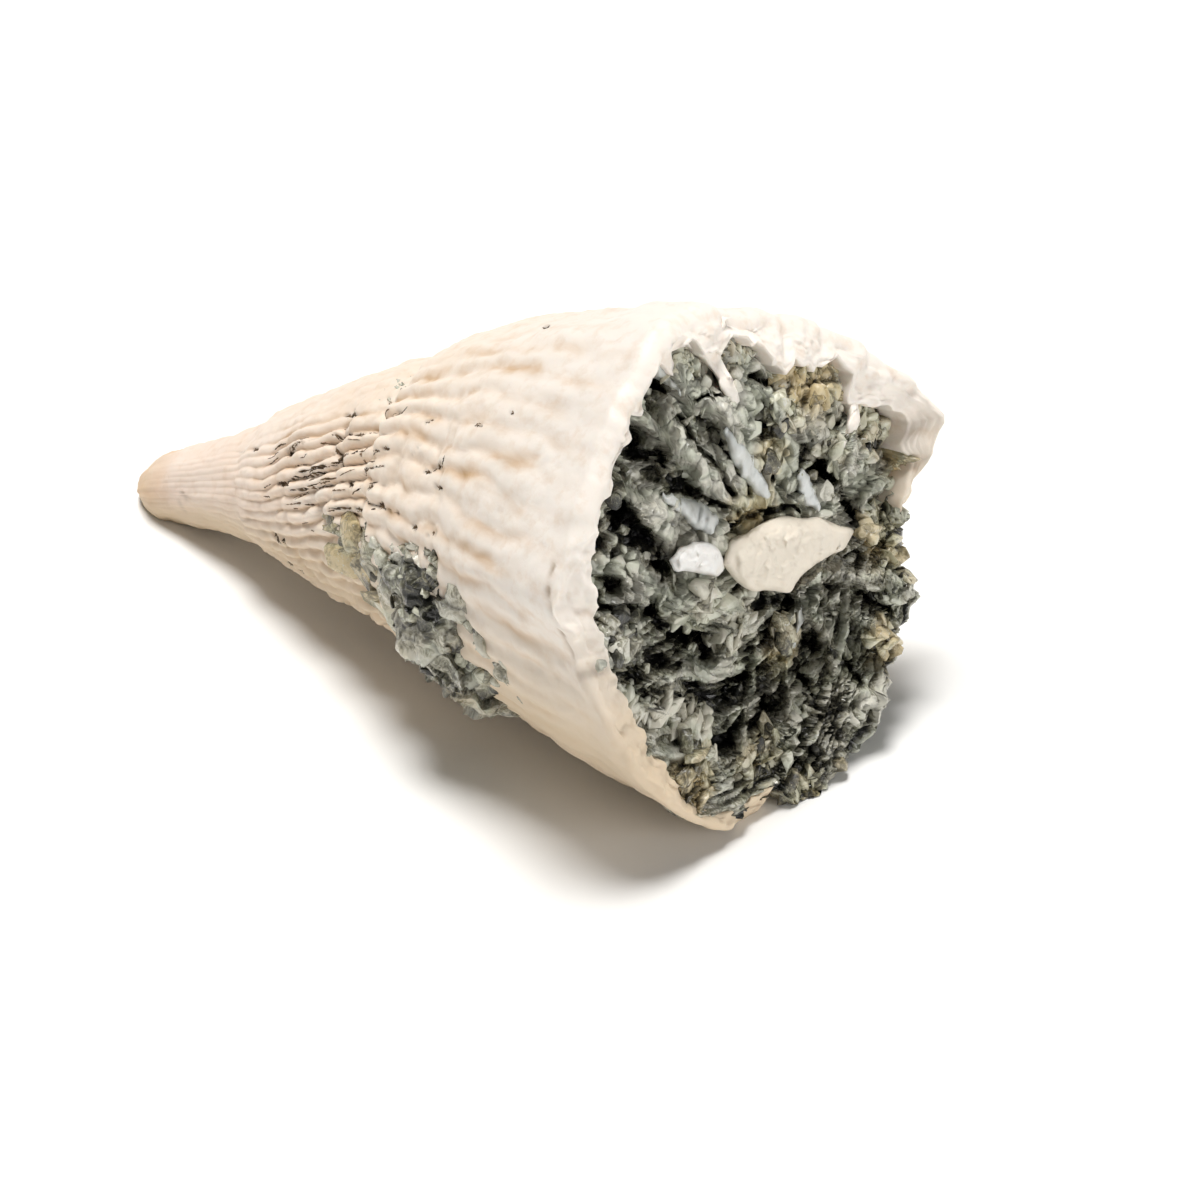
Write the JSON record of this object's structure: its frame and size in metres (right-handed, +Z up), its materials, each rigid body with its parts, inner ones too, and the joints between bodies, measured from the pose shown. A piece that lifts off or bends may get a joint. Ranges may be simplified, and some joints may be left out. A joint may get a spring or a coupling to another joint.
{
  "type": "fossil horn coral",
  "caption": "Weathered horn-shaped fossil coral lying on its side, ribbed cone with a broken calice of radiating septa filled with cemented rock grains",
  "frame": {"origin": "Centre of the bounding box's bottom, on the surface the fossil lies on", "axes": "+X runs along the horn from its tip to the open calice, +Z is up, -Y is the side whose lower half holds the lump of rock"},
  "size_m": [0.0378, 0.0224, 0.0199],
  "materials": {
    "coral": "dull, worn smooth",
    "calice_rock": "rough, with glassy grains",
    "side_rock": "rough, with glassy grains"
  },
  "bodies": {
    "root": {"corallite": "coral", "calice_matrix": "calice_rock", "side_matrix": "side_rock"}
  },
  "joints": []
}
